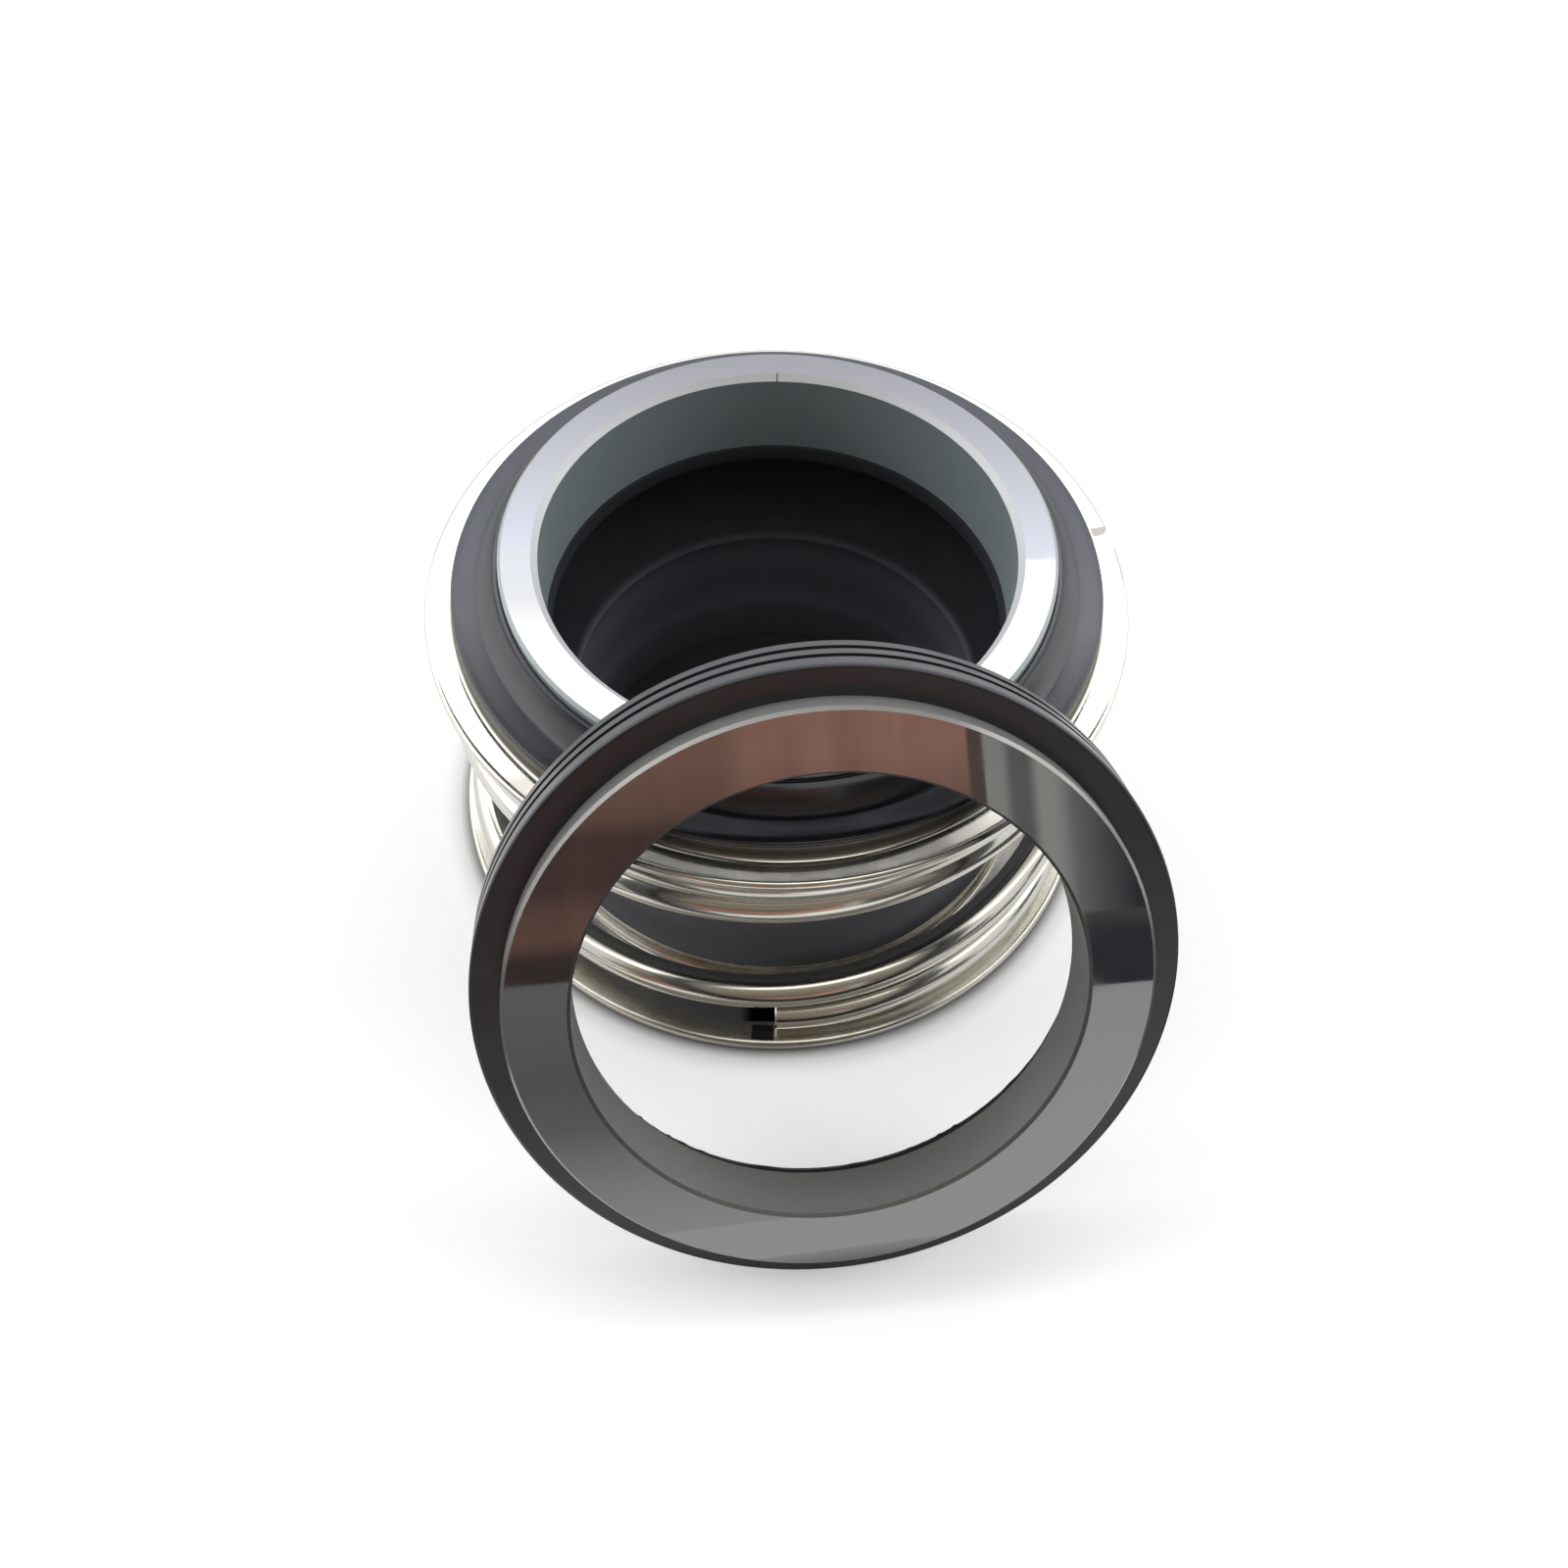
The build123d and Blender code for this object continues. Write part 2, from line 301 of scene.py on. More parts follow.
def pressed_steel(name, rough, shade_beside_wire=False, painted_dark_above=None):
    """Stainless sheet, drawn and turned: bright, with fine lines round the ring.

    Where asked, painted shade darkens the sheet beside the wire's end. Above the given height it is rougher and
    painted dark as shade.
    """
    material, tree, shader = new_material(name)
    ring = ring_space(tree)
    drawn = turned_lines(tree, ring, 1.5, 2.0, 0.6)
    cloud = noise(tree, ring["place"], 0.16, 3.0)
    stain = noise(tree, ring["place"], 0.5, 4.0, 0.65)
    tone = blend_colour(tree, spread(tree, stain, 0.3, 0.75), (0.66, 0.645, 0.60, 1), (0.585, 0.56, 0.49, 1))
    scored = product(tree, spread(tree, drawn, 0.52, 0.75), 0.3)
    tone = blend_colour(tree, scored, tone, (0.45, 0.43, 0.38, 1))
    gloss = spread(tree, weighted(tree, cloud, 0.5, drawn, 0.5), 0.3, 0.7, *rough)
    # Painted shade beside the wire's lower end.
    if shade_beside_wire:
        tone = blend_colour(tree, painted_wire_end_shade(tree, ring), tone, (0.012, 0.012, 0.012, 1))
    # Painted shade: above this height the tone is nearly black, and rougher.
    if painted_dark_above is not None:
        dull = spread(tree, ring["height"], painted_dark_above, painted_dark_above + 0.15)
        tone = blend_colour(tree, product(tree, dull, 0.9), tone, (0.085, 0.083, 0.075, 1))
        gloss = maths(tree, "ADD", gloss, product(tree, dull, 0.28))
    tree.links.new(tone, shader.inputs["Base Color"])
    shader.inputs["Metallic"].default_value = 1.0
    tree.links.new(gloss, shader.inputs["Roughness"])
    return material


def drawn_wire(name):
    """Stainless spring wire, with die lines along it."""
    material, tree, shader = new_material(name)
    place = add(tree, "ShaderNodeUVMap", uv_map="along").outputs[0]
    parts = add(tree, "ShaderNodeSeparateXYZ", {0: place})
    drawn_out = {0: product(tree, parts.outputs[0], 6.0), 1: product(tree, parts.outputs[1], 42.0)}
    lines = noise(tree, add(tree, "ShaderNodeCombineXYZ", drawn_out).outputs[0], 1.0, 4.0, 0.7)
    ring = ring_space(tree)
    cloud = noise(tree, ring["place"], 0.3, 3.0)
    tone = blend_colour(tree, spread(tree, lines, 0.35, 0.75), (0.66, 0.65, 0.60, 1), (0.55, 0.53, 0.47, 1))
    tree.links.new(tone, shader.inputs["Base Color"])
    shader.inputs["Metallic"].default_value = 1.0
    gloss = spread(tree, weighted(tree, cloud, 0.55, lines, 0.45), 0.3, 0.7, 0.13, 0.21)
    tree.links.new(gloss, shader.inputs["Roughness"])
    bump(tree, shader, lines, 0.000003, 0.4)
    return material


# Mesh helpers

def mesh_object(name, points, faces, material, smooth_angle=35.0):
    """A mesh piece from points in millimetres, smooth except at sharp edges."""
    mesh = bpy.data.meshes.new(name)
    mesh.from_pydata([(x * MM, y * MM, z * MM) for x, y, z in points], [], faces)
    mesh.validate()
    made = bpy.data.objects.new(name, mesh)
    scene.collection.objects.link(made)
    mesh.shade_smooth()
    mesh.set_sharp_from_angle(angle=math.radians(smooth_angle))
    mesh.materials.append(material)
    return made


def arc(centre, radius, start, end, steps):
    """Points on an arc between two angles in degrees."""
    points = []
    for step in range(steps + 1):
        angle = math.radians(start + (end - start) * step / steps)
        points.append((centre[0] + radius * math.cos(angle), centre[1] + radius * math.sin(angle)))
    return points


def turn_profile(profile, steps):
    """Points and faces of a closed outline, as (radius, height), turned about Z."""
    points = []
    count = len(profile)
    for step in range(steps):
        angle = 2 * math.pi * step / steps
        for radius, height in profile:
            points.append((radius * math.cos(angle), radius * math.sin(angle), height))
    faces = []
    for step in range(steps):
        here, there = step * count, (step + 1) % steps * count
        for index in range(count):
            after = (index + 1) % count
            faces.append((here + index, there + index, there + after, here + after))
    return points, faces


def hermite(start, end, start_pull, end_pull, steps):
    """Points on a smooth run between two ends, the first left out."""
    points = []
    for step in range(1, steps + 1):
        t = step / steps
        a, b = 2 * t**3 - 3 * t**2 + 1, t**3 - 2 * t**2 + t
        c, d = -2 * t**3 + 3 * t**2, t**3 - t**2
        points.append(tuple(a * start[k] + b * start_pull[k] + c * end[k] + d * end_pull[k] for k in (0, 1)))
    return points


# The coil spring

def coil_height(turn):
    """Height of the wire's centre after a turn in degrees from the lower end."""
    rise = COIL_HIGH - COIL_LOW
    closed_rise = CLOSED_PITCH * (LOWER_CLOSED + UPPER_CLOSED + PITCH_CHANGE) / 360
    extra = 360 * (rise - closed_rise) / (PITCH_CHANGE + ACTIVE) - CLOSED_PITCH
    up = min(max(turn - LOWER_CLOSED, 0), PITCH_CHANGE)
    level = min(max(turn - LOWER_CLOSED - PITCH_CHANGE, 0), ACTIVE)
    down = min(max(turn - LOWER_CLOSED - PITCH_CHANGE - ACTIVE, 0), PITCH_CHANGE)
    height = COIL_LOW + CLOSED_PITCH * turn / 360
    height += extra * up * up / (2 * PITCH_CHANGE) / 360
    height += extra * level / 360
    height += extra * (down - down * down / (2 * PITCH_CHANGE)) / 360
    return height


def coil_spring(material):
    """The wound wire with its two sheared ends."""
    whole = LOWER_CLOSED + 2 * PITCH_CHANGE + ACTIVE + UPPER_CLOSED
    rings, sides = 660, 28
    step = math.degrees(WIRE_BEVEL / COIL_R)
    stations = [(0, WIRE_R - WIRE_BEVEL), (step, WIRE_R)]
    stations += [(whole * index / rings, WIRE_R) for index in range(1, rings)]
    stations += [(whole - step, WIRE_R), (whole, WIRE_R - WIRE_BEVEL)]
    points, faces, along = [], [], []
    for turn, radius in stations:
        angle = math.radians(COIL_START + turn)
        before, after = max(turn - 0.5, 0), min(turn + 0.5, whole)
        slope = (coil_height(after) - coil_height(before)) / (math.radians(after - before) * COIL_R)
        out = Vector((math.cos(angle), math.sin(angle), 0))
        ahead = Vector((-math.sin(angle), math.cos(angle), slope)).normalized()
        up = out.cross(ahead)
        centre = out * COIL_R + Vector((0, 0, coil_height(turn)))
        for side in range(sides):
            around = 2 * math.pi * side / sides
            points.append(centre + radius * (math.cos(around) * out + math.sin(around) * up))
    count = len(stations)
    for index in range(count - 1):
        for side in range(sides):
            after = (side + 1) % sides
            here, there = index * sides, (index + 1) * sides
            faces.append((here + side, there + side, there + after, here + after))
            low, high = stations[index][0] / 360, stations[index + 1][0] / 360
            near, far = side / sides, (side + 1) / sides
            along += [(low, near), (high, near), (high, far), (low, far)]
    for end in (tuple(range(sides)), tuple(reversed(range((count - 1) * sides, count * sides)))):
        faces.append(end)
        along += [(0.5 + 0.05 * math.cos(k), 0.5 + 0.05 * math.sin(k)) for k in range(sides)]
    made = mesh_object("coil_spring_wire", points, faces, material, 40.0)
    layer = made.data.uv_layers.new(name="along")
    for index, pair in enumerate(along):
        layer.data[index].uv = pair
    return made


# The bellows

def bellows_profile():
    """The outline of the one rubber moulding, as (radius, height), from the tail up and round."""
    points = [(18.95, 0.06), (19.02, 0.01), (19.15, 0.0), (21.0, 0.0), (22.7, 0.0), (22.82, 0.03), (22.88, 0.12)]
    points += [(22.88, 1.6), (22.88, 3.2), (23.4, 3.2), (23.9, 3.2), (24.03, 3.25), (24.1, 3.4)]
    points += [(24.1, float(height)) for height in range(4, 13)] + [(24.1, 12.6)]
    points += hermite((24.1, 12.6), (26.3, 17.6), (0, 6.0), (0, 6.0), 14)
    points += [(26.3, 19.0), (26.3, 21.0), (26.3, 23.0), (26.3, 25.0), (26.3, 27.0), (26.3, 28.05)]
    points += [(26.45, 28.35), (26.8, 28.85), (27.12, 29.35), (27.17, 29.8), (27.17, 31.0)]
    points += [(27.3, 31.0), (28.36, 31.0), (28.4, 31.04), (28.4, 31.14)]
    points += [(28.375, 31.25), (28.3, 31.34), (28.18, 31.4)]
    points += [(27.6, 31.49), (27.0, 31.58), (26.4, 31.67)]
    points += hermite((26.4, 31.67), (24.42, 34.0), (-2.3, 0.35), (-0.25, 2.1), 16)
    points += [(24.37, 34.07), (24.27, 34.1), (24.12, 34.1), (24.04, 34.05), (24.02, 33.95)]
    points += [(24.02, 31.0), (24.02, 28.0), (24.02, 26.36), (23.9, 26.36), (22.0, 26.36)]
    points += [(20.55, 26.36), (20.36, 26.3), (20.3, 26.1), (20.3, 25.4), (20.3, 24.9), (20.4, 24.72)]
    points += hermite((20.4, 24.72), (24.0, 20.55), (4.3, -1.4), (0, -3.8), 16)
    points += hermite((24.0, 20.55), (20.2, 16.4), (0, -3.8), (-4.3, -1.3), 16)
    points += arc((20.2, 15.1), 1.3, 90, 180, 8)[1:]
    points += [(19.1, 14.75), (19.3, 14.5), (19.3, 12.5), (19.3, 10.5), (19.3, 8.5), (19.3, 6.4)]
    points += [(19.1, 6.1), (18.9, 5.8), (18.9, 4.0), (18.9, 2.0)]
    return points


def bellows(material):
    """The rubber bellows as one turned skin."""
    points, faces = turn_profile(bellows_profile(), 300)
    return mesh_object("bellows_moulding", points, faces, material, 50.0)


# The two pressed rings

def ring_outline(leg_outer, low, leg_height, inner, outer=None):
    """The L section of a pressed ring, and where the opening in its flange starts and ends in it.

    The opening runs from the inner radius to the outer one, or out through the rim.
    """
    leg_inner = leg_outer - SHEET
    top, flange_top = low + leg_height, low + SHEET
    rim = FLANGE_R - RIM_ROUND
    edge = rim - 0.1 if outer is None else outer
    heel = arc((leg_inner + 1.0, low + 1.0), 1.0, 180, 270, 8)
    points = [(leg_inner, low + 1.1)] + heel + [(leg_inner + 1.1, low)]
    first = len(points)
    points += [(inner, low), (edge, low)]
    points += arc((rim, low + RIM_ROUND), RIM_ROUND, 270, 360, 7)
    points += arc((rim, flange_top - RIM_ROUND), RIM_ROUND, 0, 90, 7)
    points += [(edge, flange_top), (inner, flange_top)]
    last = len(points) - 1
    points += [(leg_outer + 0.7, flange_top)] + arc((leg_outer + 0.6, flange_top + 0.6), 0.6, 270, 180, 7)
    points += [(leg_outer, flange_top + 0.7), (leg_outer, top - 0.3)]
    points += arc((leg_outer - 0.2, top - 0.2), 0.2, 0, 90, 5)
    points += arc((leg_inner + 0.2, top - 0.2), 0.2, 90, 180, 5) + [(leg_inner, top - 0.3)]
    return points, first, last


def pressed_ring(name, outline, bearing, half_turn, window, material):
    """A turned ring with one opening in its flange: a window, or a slot that is open at the rim."""
    profile, first, last = outline
    inside, outside = 5, 355
    turns = [bearing - half_turn + 2 * half_turn * step / inside for step in range(inside)]
    turns += [bearing + half_turn + (360 - 2 * half_turn) * step / outside for step in range(outside)]
    points, faces = [], []
    for turn in turns:
        angle = math.radians(turn)
        points += [(radius * math.cos(angle), radius * math.sin(angle), height) for radius, height in profile]
    count = len(profile)
    cut = {first, last - 1} if window else set(range(first, last))
    for step in range(len(turns)):
        here, there = step * count, (step + 1) % len(turns) * count
        opened = step < inside
        for index in range(count):
            after = (index + 1) % count
            if not (opened and index in cut):
                faces.append((here + index, there + index, there + after, here + after))
        if opened:
            faces.append((here + first, there + first, there + last, here + last))
        if opened and window:
            faces.append((here + first + 1, here + last - 1, there + last - 1, there + first + 1))
    side = [first, first + 1, last - 1, last] if window else list(range(first, last + 1))
    faces.append(tuple(reversed(side)))
    faces.append(tuple(inside * count + index for index in side))
    return mesh_object(name, points, faces, material)


# The seat's rubber cup, and the flash that is left round its back edge

def seat_turn():
    """The three axes of the seat's own frame."""
    side = Vector((0, 0, 1)).cross(SEAT_NORMAL).normalized()
    return side, SEAT_NORMAL.cross(side), SEAT_NORMAL


def cup_outline():
    """The section of the cup: a back wall, and a rim with two grooves between its ribs."""
    points = [(CUP_BORE_R, 0.0), (20.7, 0.0), (26.8, 0.0)]
    points += arc((26.9, 0.5), 0.5, 270, 360, 8) + [(CUP_R, 0.6)]
    groove_depth, groove_half, steps = 0.5, 0.325, 12
    for middle in (1.725, 3.275):
        for step in range(steps + 1):
            angle = math.radians(270 - 180 * step / steps)
            points.append((CUP_R + groove_depth * math.cos(angle), middle + groove_half * math.sin(angle)))
    points += [(CUP_R, 4.6)] + arc((27.1, 4.7), 0.3, 0, 90, 6)
    points += [(27.0, 5.0), (25.0, 5.0), (25.0, 1.6), (CUP_BORE_R, 1.6)]
    return points


def seat_cup(material):
    """The cup as one turned skin, where the seat stands."""
    side, rise, normal = seat_turn()
    flat, faces = turn_profile(cup_outline(), 360)
    points = [tuple(SEAT_BACK + side * x + rise * y + normal * z) for x, y, z in flat]
    return mesh_object("seat_cup_moulding", points, faces, material)


def seat_flash(material):
    """A thin ragged fin inside the cup's back bore."""
    side, rise, normal = seat_turn()
    steps = 420
    points, faces = [], []
    for step in range(steps):
        angle = 2 * math.pi * step / steps
        wave = 0.5 + 0.25 * math.sin(angle * 17 + 1.3)
        wave += 0.25 * math.sin(angle * 41 + math.sin(angle * 9) * 2.0)
        nick = max(0.0, math.sin(angle * 63 + 3 * math.sin(angle * 11))) ** 6
        inner = 20.58 - 0.10 * wave - 0.12 * nick * max(0.0, math.sin(angle * 5 + 0.7))
        out = side * math.cos(angle) + rise * math.sin(angle)
        for radius, height in ((20.7, 0.04), (inner, 0.1), (inner, 0.16), (20.7, 0.3)):
            points.append(tuple(SEAT_BACK + out * radius + normal * height))
    for step in range(steps):
        here, there = step * 4, (step + 1) % steps * 4
        for index in range(4):
            after = (index + 1) % 4
            faces.append((here + index, there + index, there + after, here + after))
    return mesh_object("seat_cup_flash", points, faces, material, 40.0)


# Pieces and their materials
seat_place = (seat_turn(), tuple(SEAT_BACK))
bore_tone = (0.009, 0.0093, 0.0125, 1)
head_rubber = rubber("head_rubber", (0.009, 0.009, 0.012, 1), (0.014, 0.014, 0.018, 1), inside=bore_tone)
seat_rubber = rubber("seat_rubber", (0.004, 0.004, 0.006, 1), (0.007, 0.007, 0.010, 1), seat_place, (0.27, 0.35))
upper_steel = pressed_steel("upper_steel", (0.10, 0.18), painted_dark_above=29.52)
lower_steel = pressed_steel("lower_steel", (0.20, 0.30), shade_beside_wire=True)
wire = drawn_wire("spring_wire")
# The third tone of the face ring is light: a painted highlight on its bore chamfer.
face_tones = (0.215, 0.252, 0.262, 1), (0.31, 0.36, 0.372, 1), (0.58, 0.59, 0.61, 1)
seat_tones = (0.10, 0.10, 0.098, 1), (0.15, 0.15, 0.146, 1), (0.12, 0.115, 0.105, 1)
face_carbide = carbide("face_carbide", (0, 0, 1), face_tones, mark=True, bright_side=-1)
seat_carbide = carbide("seat_carbide", SEAT_NORMAL, seat_tones, seat_place, edge_rough=0.24)

for node, material in (("face_ring", face_carbide), ("seat_ring", seat_carbide)):
    nodes[node].data.materials.clear()
    nodes[node].data.materials.append(material)

spring = coil_spring(wire)
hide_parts("coil_spring")
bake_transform(spring)

skin = bellows(head_rubber)
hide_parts("bellows")
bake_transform(skin)

slotted = ring_outline(leg_outer=28.4, low=28.25, leg_height=2.7, inner=29.3)
upper = pressed_ring("upper_ring_pressing", slotted, 12.8, 2.57, False, upper_steel)
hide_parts("upper_spring_ring")
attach(upper, "head")

windowed = ring_outline(leg_outer=24.1, low=0.0, leg_height=3.2, inner=29.0, outer=30.5)
lower = pressed_ring("lower_ring_pressing", windowed, -90.6, 1.926, True, lower_steel)
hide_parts("lower_spring_ring")
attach(lower, "base")

cup = seat_cup(seat_rubber)
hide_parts("seat_cup")
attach(cup, "base")

flash = seat_flash(seat_rubber)
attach(flash, "base")


# The studio: floor, world, cards that only mirrors see, and three soft lamps

FLOOR_HALF = 6.0
FLOOR_RAMP = 0.04
CEILING = 1.82
ROOM_HALF = 1.7
WALL_FRONT = -1.3
WALL_BACK = 1.3
SOFTBOX_LOW = 1.461


def seen_white(tree):
    """One where a ray comes from the camera, a mirror or glass."""
    path = add(tree, "ShaderNodeLightPath")
    seen = maths(tree, "MAXIMUM", path.outputs["Is Camera Ray"], path.outputs["Is Glossy Ray"])
    return maths(tree, "MAXIMUM", seen, path.outputs["Is Transmission Ray"])


def ramp_of(tree, value, stops):
    """A colour ramp with the given stops."""
    ramp = add(tree, "ShaderNodeValToRGB", {"Fac": value})
    marks = ramp.color_ramp.elements
    while len(marks) > 1:
        marks.remove(marks[-1])
    marks[0].position, marks[0].color = stops[0][0], (*stops[0][1], 1)
    for position, colour in stops[1:]:
        marks.new(position).color = (*colour, 1)
    return ramp.outputs[0]


def grey(value):
    """A neutral tone."""
    return (value, value, value)


def bare_material(name):
    """A material with only its output, for the floor and the cards. No lamp rays are aimed at its glow."""
    material = bpy.data.materials.new(name)
    material.use_nodes = True
    material.cycles.emission_sampling = "NONE"
    tree = material.node_tree
    tree.nodes.remove(tree.nodes["Principled BSDF"])
    return material, tree, tree.nodes["Material Output"].inputs["Surface"]


def sheet_object(name, corners, material):
    """One four-cornered sheet of the studio."""
    mesh = bpy.data.meshes.new(name)
    mesh.from_pydata(corners, [], [(0, 1, 2, 3)])
    mesh.materials.append(material)
    made = bpy.data.objects.new(name, mesh)
    scene.collection.objects.link(made)
    return made


def level_corners(left, right, near, far, height=0.0):
    """The corners of a level rectangle, from its near left one."""
    return [(left, near, height), (right, near, height), (right, far, height), (left, far, height)]


def studio_floor():
    """A white floor that keeps the shadow. Right under the part it is painted dark as shade and gets no lift there."""
    material, tree, surface = bare_material("studio_floor")
    place = add(tree, "ShaderNodeTexCoord").outputs["Object"]
    away = add(tree, "ShaderNodeVectorMath", {0: place}, operation="LENGTH").outputs["Value"]
    # Painted shade: dark under the part, darkest under the lower ring's flange, then the white floor.
    shades = [(0.0, grey(0.09)), (0.70, grey(0.09)), (0.765, grey(0.03)), (0.80, grey(0.8))]
    matt = add(tree, "ShaderNodeBsdfDiffuse", {"Color": ramp_of(tree, product(tree, away, 1 / FLOOR_RAMP), shades)})
    clear = spread(tree, away, 0.0302, 0.034)
    level = product(tree, seen_white(tree), clear, spread(tree, away, 0.4, 2.2, 0.40, 0.80))
    lift = add(tree, "ShaderNodeEmission", {"Color": (1, 1, 1, 1), "Strength": level})
    both = add(tree, "ShaderNodeAddShader", {0: matt.outputs[0], 1: lift.outputs[0]})
    tree.links.new(both.outputs[0], surface)
    floor = sheet_object("floor", level_corners(-FLOOR_HALF, FLOOR_HALF, -FLOOR_HALF, FLOOR_HALF), material)
    floor.location = (0, 0, -0.00005)


def studio_world():
    """White where it is seen, and a plain soft light from all round."""
    world = bpy.data.worlds.new("studio")
    scene.world = world
    world.use_nodes = True
    tree = world.node_tree
    tree.nodes.clear()
    light = add(tree, "ShaderNodeBackground", {"Color": (1, 1, 1, 1), "Strength": 0.30})
    white = add(tree, "ShaderNodeBackground", {"Color": (1, 1, 1, 1), "Strength": 1.0})
    mix = add(tree, "ShaderNodeMixShader", {0: seen_white(tree), 1: light.outputs[0], 2: white.outputs[0]})
    out = add(tree, "ShaderNodeOutputWorld")
    tree.links.new(mix.outputs[0], out.inputs["Surface"])


def card(name, corners, stops, sideways=None, streaks=0.0):
    """A glowing card that only mirrors see, with its colour from bottom to top, or also from left to right."""
    material, tree, surface = bare_material(name)
    place = add(tree, "ShaderNodeUVMap", uv_map="card").outputs[0]
    parts = add(tree, "ShaderNodeSeparateXYZ", {0: place})
    colour = ramp_of(tree, parts.outputs[1], stops)
    if sideways is not None:
        colour = vector_maths(tree, "MULTIPLY", colour, ramp_of(tree, parts.outputs[0], sideways))
    if streaks:
        drawn_out = vector_maths(tree, "MULTIPLY", place, (26.0, 1.6, 1.0))
        cloth = spread(tree, noise(tree, drawn_out, 1.0, 3.0, 0.6), 0.3, 0.7, 1.0 - streaks, 1.0 + streaks)
        colour = add(tree, "ShaderNodeVectorMath", {0: colour, "Scale": cloth}, operation="SCALE").outputs[0]
    glow = add(tree, "ShaderNodeEmission", {"Color": colour, "Strength": 1.0})
    tree.links.new(glow.outputs[0], surface)
    made = sheet_object(name, corners, material)
    layer = made.data.uv_layers.new(name="card")
    for index, pair in enumerate(((0, 0), (1, 0), (1, 1), (0, 1))):
        layer.data[index].uv = pair
    made.visible_camera = False
    made.visible_diffuse = False
    made.visible_shadow = False


def wall(name, left, right, low, high, stops, sideways=None, streaks=0.0):
    """An upright card between two points on the floor."""
    corners = [(*left, low), (*right, low), (*right, high), (*left, high)]
    card(name, corners, stops, sideways, streaks)


studio_floor()
studio_world()

# In front: a brown wall with darker bands low down, then uprights towards the right
front_y, front_high = -0.60, 0.32
bands = [
    (0.0, (0.12, 0.06, 0.05)), (0.03, (0.14, 0.07, 0.055)), (0.055, (0.54, 0.26, 0.19)),
    (0.085, (0.50, 0.245, 0.18)), (0.12, (0.26, 0.12, 0.10)), (0.18, (0.25, 0.12, 0.085)),
    (0.205, (0.60, 0.31, 0.23)), (0.27, (0.88, 0.44, 0.32)), (0.36, (0.88, 0.44, 0.32)),
    (0.46, (0.34, 0.21, 0.16)), (1.0, (0.26, 0.19, 0.15)),
]
fade = [(0.0, grey(0.72)), (0.80, grey(0.75)), (0.855, grey(0.80)), (0.905, grey(1.0)), (1.0, grey(1.05))]
wall("card_brown", (-0.55, -0.575), (0.200, front_y), 0.0, front_high, bands, fade, 0.16)
line = [(0.0, (0.2, 0.14, 0.12)), (1.0, (0.36, 0.23, 0.17))]
wall("card_line", (0.200, front_y), (0.207, front_y), 0.0, front_high, line)
plain = [(0.0, grey(1.0)), (1.0, grey(1.0))]
uprights = [
    (0.0, (0.88, 0.87, 0.80)), (0.09, (0.8, 0.79, 0.74)), (0.13, grey(0.34)), (0.21, grey(0.33)),
    (0.26, (0.95, 0.94, 0.88)), (0.34, (0.9, 0.89, 0.84)), (0.42, grey(0.44)), (0.55, grey(0.22)),
    (0.70, (0.055, 0.055, 0.07)), (1.0, (0.05, 0.05, 0.06)),
]
wall("card_uprights", (0.207, front_y), (0.30, front_y), 0.0, front_high, plain, uprights)
corner = [(0.0, (0.06, 0.06, 0.07)), (1.0, (0.2, 0.19, 0.17))]
wall("card_right_front", (0.30, front_y), (0.75, -0.40), 0.0, front_high, corner)
low_dark = [(0.0, (0.045, 0.045, 0.06)), (0.7, (0.05, 0.05, 0.065)), (1.0, grey(0.16))]
wall("card_low_dark", (0.146, -0.345), (0.42, -0.300), 0.0, 0.020, low_dark)

# On the floor in front, where the seat's face and the near steel mirror it: darker sheets that paint the floor's shade
# into those reflections
shade = [
    (0.0, grey(0.40)), (0.5, grey(0.36)), (0.705, grey(0.31)), (0.835, grey(0.38)),
    (0.91, grey(0.66)), (0.96, grey(0.88)), (1.0, grey(1.0)),
]
card("card_floor_shade", level_corners(-0.6, 0.02, -0.60, -0.095, 0.0006), shade)
foot = [(0.0, (0.34, 0.32, 0.28)), (1.0, (0.20, 0.185, 0.16))]
foot_ends = [(0.0, grey(4.0)), (0.22, grey(1.0)), (0.78, grey(1.0)), (1.0, grey(4.0))]
card("card_foot", level_corners(-0.034, 0.034, -0.0472, -0.0313, 0.0004), foot, foot_ends)
near = [(0.0, grey(1.0)), (0.25, grey(0.45)), (1.0, grey(0.22))]
near_ends = [(0.0, grey(4.0)), (0.2, grey(1.0)), (0.9, grey(1.0)), (1.0, grey(3.0))]
card("card_near_floor", level_corners(-0.04, 0.13, -0.079, -0.0535, 0.0004), near, near_ends)
dark = [(0.0, grey(0.10)), (1.0, grey(0.08))]
card("card_left_floor", level_corners(-0.40, -0.045, -0.16, -0.040, 0.0005), dark)
card("card_right_floor", level_corners(0.045, 0.40, -0.09, -0.026, 0.0005), dark)
wall("card_right_low", (0.42, -0.10), (0.42, 0.01), 0.0, 0.14, dark)

# Across the top of the seat's bore: a dark sheet that paints shade into what the collar in front of it mirrors
bore_side, bore_rise, bore_normal = seat_turn()
bore_middle = SEAT_BACK + bore_normal * 2.5
bore_spots = ((-17, 15), (17, 15), (17, 20), (-17, 20))
bore_top = [tuple((bore_middle + bore_side * x + bore_rise * y) * MM) for x, y in bore_spots]
bore_dark = (0.02, 0.02, 0.03)
card("card_bore_top", bore_top, [(0.0, bore_dark), (1.0, bore_dark)])

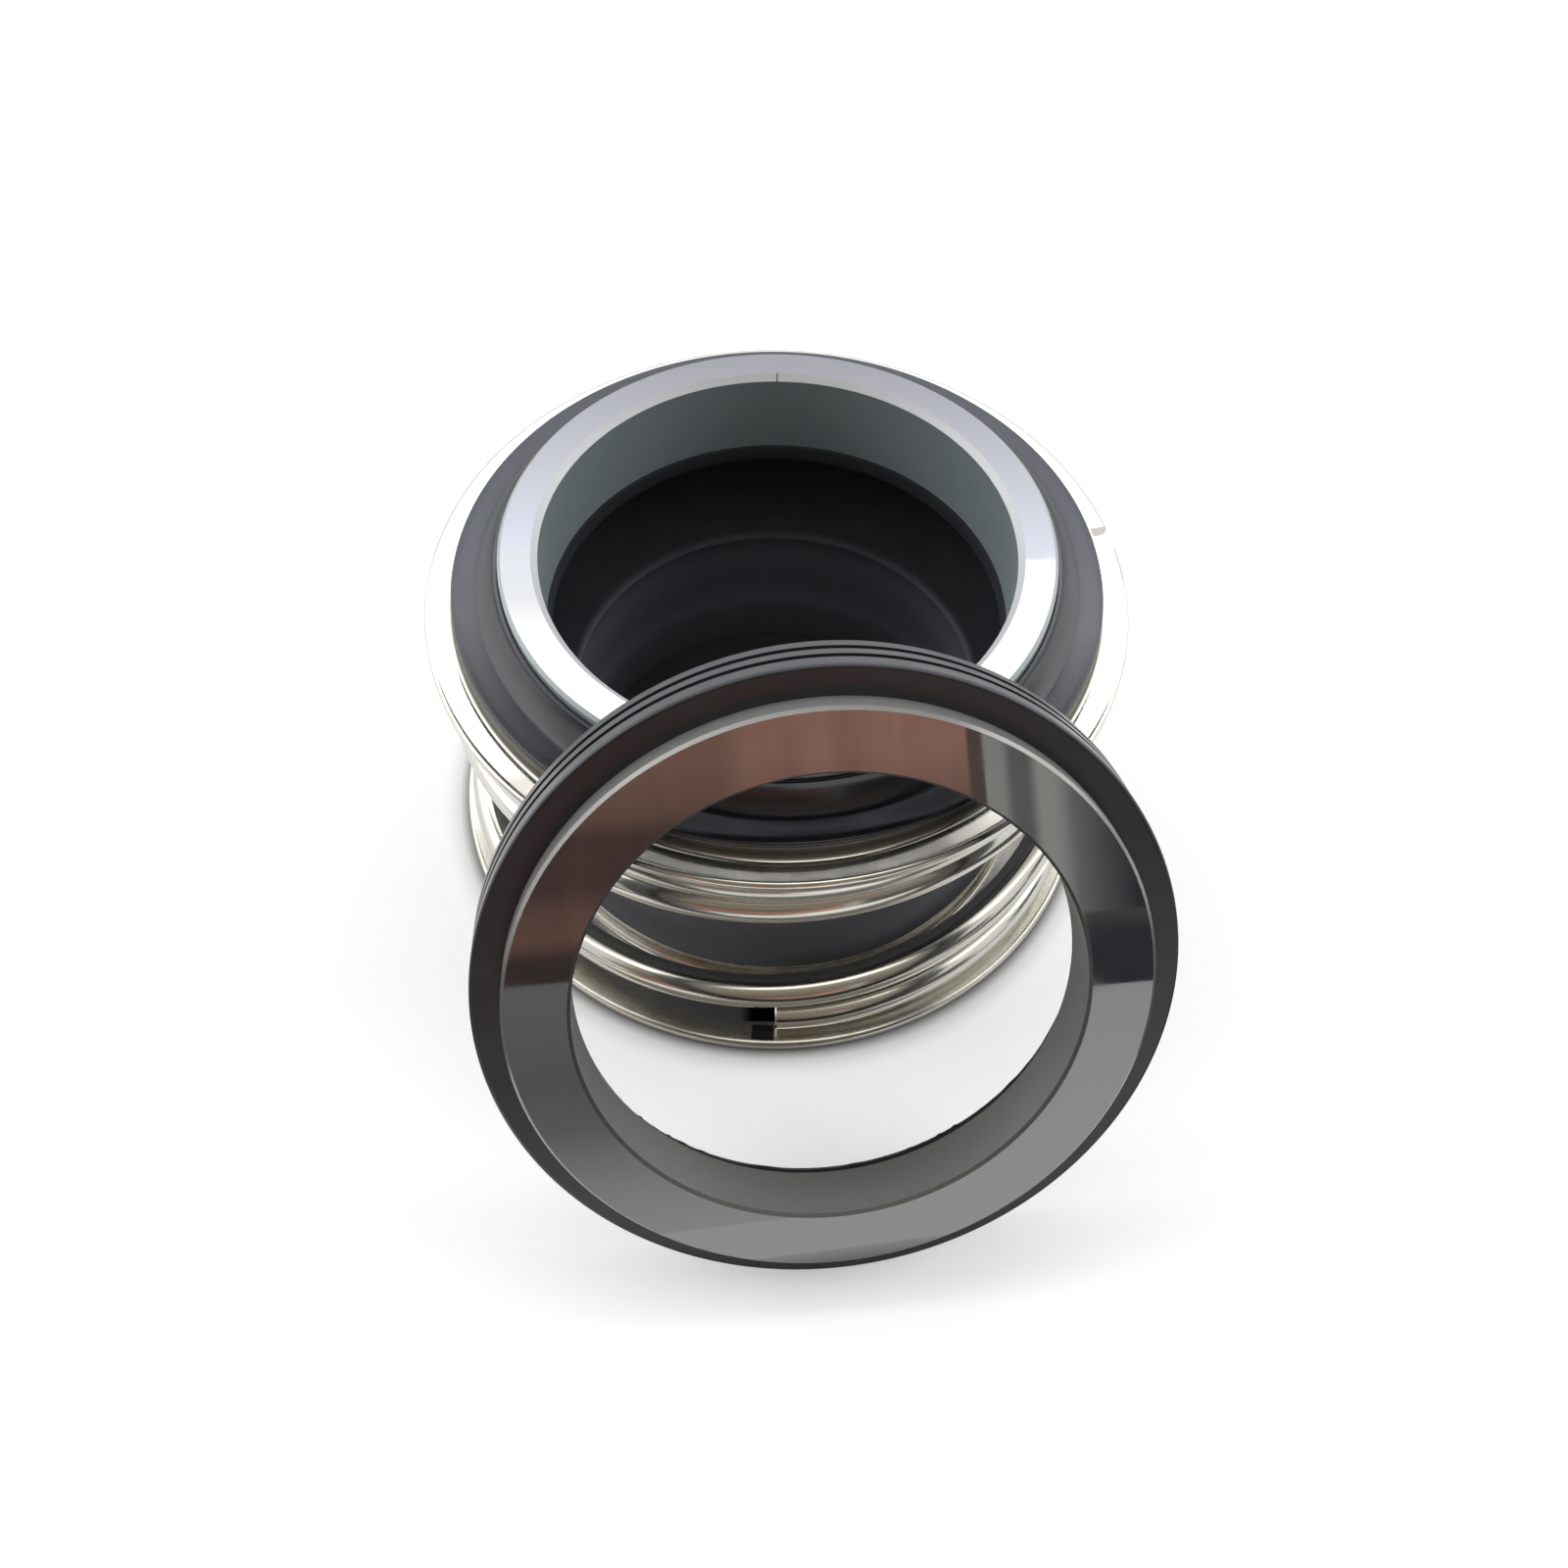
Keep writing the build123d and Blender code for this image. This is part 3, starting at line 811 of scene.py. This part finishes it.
# Behind: a cool wall that gets lighter towards the white soft box over it, and a dim room above
cool = [
    (0.0, (1.1, 1.15, 1.35)), (0.62, (1.6, 1.64, 1.84)), (0.70, (1.78, 1.80, 1.98)),
    (0.86, (2.75, 2.85, 3.15)), (1.0, (3.6, 3.75, 4.25)),
]
wall("card_cool", (-1.5, WALL_BACK), (1.5, WALL_BACK), 0.45, SOFTBOX_LOW, cool)
white = [(0.0, grey(6.0)), (0.95, grey(6.0)), (1.0, grey(4.0))]
soft_left = [(0.0, (3.7, 3.85, 4.1)), (0.23, (3.9, 4.0, 4.15)), (0.4, grey(5.0)), (0.6, grey(6.0))] + white[1:]
for name, left, right, stops in (("card_softbox_right", 0.0, 1.5, white), ("card_softbox_left", -1.5, 0.0, soft_left)):
    low_edge = [(left, WALL_BACK, SOFTBOX_LOW), (right, WALL_BACK, SOFTBOX_LOW)]
    card(name, low_edge + [(right, 1.24, 1.80), (left, 1.24, 1.80)], stops)
dim = [(0.0, grey(0.20)), (0.25, grey(0.05)), (0.93, grey(0.05)), (1.0, grey(0.3))]
card("card_dim_ceiling", level_corners(-ROOM_HALF, ROOM_HALF, 0.60, 1.24, CEILING), dim)
top = [
    (0.0, (0.36, 0.33, 0.28)), (0.30, (0.40, 0.37, 0.32)), (0.42, (2.3, 2.3, 2.2)),
    (0.62, (2.3, 2.3, 2.2)), (0.74, (0.9, 0.9, 0.87)), (1.0, grey(0.3)),
]
card("card_top", level_corners(-ROOM_HALF, ROOM_HALF, WALL_FRONT, 0.60, CEILING), top)
front = [(0.0, (0.30, 0.24, 0.19)), (0.8, (0.27, 0.25, 0.21)), (1.0, (0.38, 0.36, 0.32))]
wall("card_front", (-ROOM_HALF, WALL_FRONT), (ROOM_HALF, WALL_FRONT), 0.35, CEILING, front)

# Left and right: bright sides for the steel
bright = [(0.0, (1.8, 1.8, 1.7)), (1.0, (2.4, 2.4, 2.3))]
wall("card_left", (-1.2, -0.3), (-1.2, 1.1), 0.05, 1.3, bright)
wall("card_right", (1.2, 1.1), (1.2, -0.1), 0.05, 1.3, bright)


def soft_lamp(name, place, width, depth, energy):
    """A soft lamp aimed at the part; mirrors see the cards instead of it."""
    data = bpy.data.lights.new(name, "AREA")
    data.shape = "RECTANGLE"
    data.size = width
    data.size_y = depth
    data.energy = energy
    made = bpy.data.objects.new(name, data)
    scene.collection.objects.link(made)
    made.location = place
    made.rotation_euler = (Vector((0, -0.02, 0.02)) - Vector(place)).to_track_quat("-Z", "Y").to_euler()
    made.visible_glossy = False
    made.visible_camera = False


soft_lamp("key_lamp", (-0.05, 0.5, 0.85), 1.6, 0.5, 5.5)
soft_lamp("left_lamp", (-0.85, 0.12, 0.62), 0.5, 0.5, 4.0)
soft_lamp("right_lamp", (0.85, 0.12, 0.62), 0.5, 0.5, 4.0)

# The camera, from the perspective of the photograph, with its picture measures in pixels
PHOTO = 1600
FOCAL = 1688.41
MIDDLE_X = 793.3
SENSOR = 36
CAMERA_PLACE = Vector((0.47, -97.21, 140.05)) * MM
ELEVATION = math.radians(55.54)
ROLL = math.radians(1.51)
ahead = Vector((0, math.cos(ELEVATION), -math.sin(ELEVATION)))
level = Vector((1, 0, 0))
upright = Vector((0, math.sin(ELEVATION), math.cos(ELEVATION)))
across = level * math.cos(ROLL) + upright * math.sin(ROLL)
above = upright * math.cos(ROLL) - level * math.sin(ROLL)
camera_data = bpy.data.cameras.new("camera")
camera_data.sensor_width = SENSOR
camera_data.lens = SENSOR * FOCAL / PHOTO
camera_data.shift_x = (PHOTO / 2 - MIDDLE_X) / PHOTO
camera_data.clip_start = 0.005
camera_data.clip_end = 50
camera = bpy.data.objects.new("camera", camera_data)
scene.collection.objects.link(camera)
turn = Matrix((across, above, -ahead)).transposed().to_4x4()
camera.matrix_world = Matrix.Translation(CAMERA_PLACE) @ turn
scene.camera = camera
scene.view_settings.view_transform = "Standard"
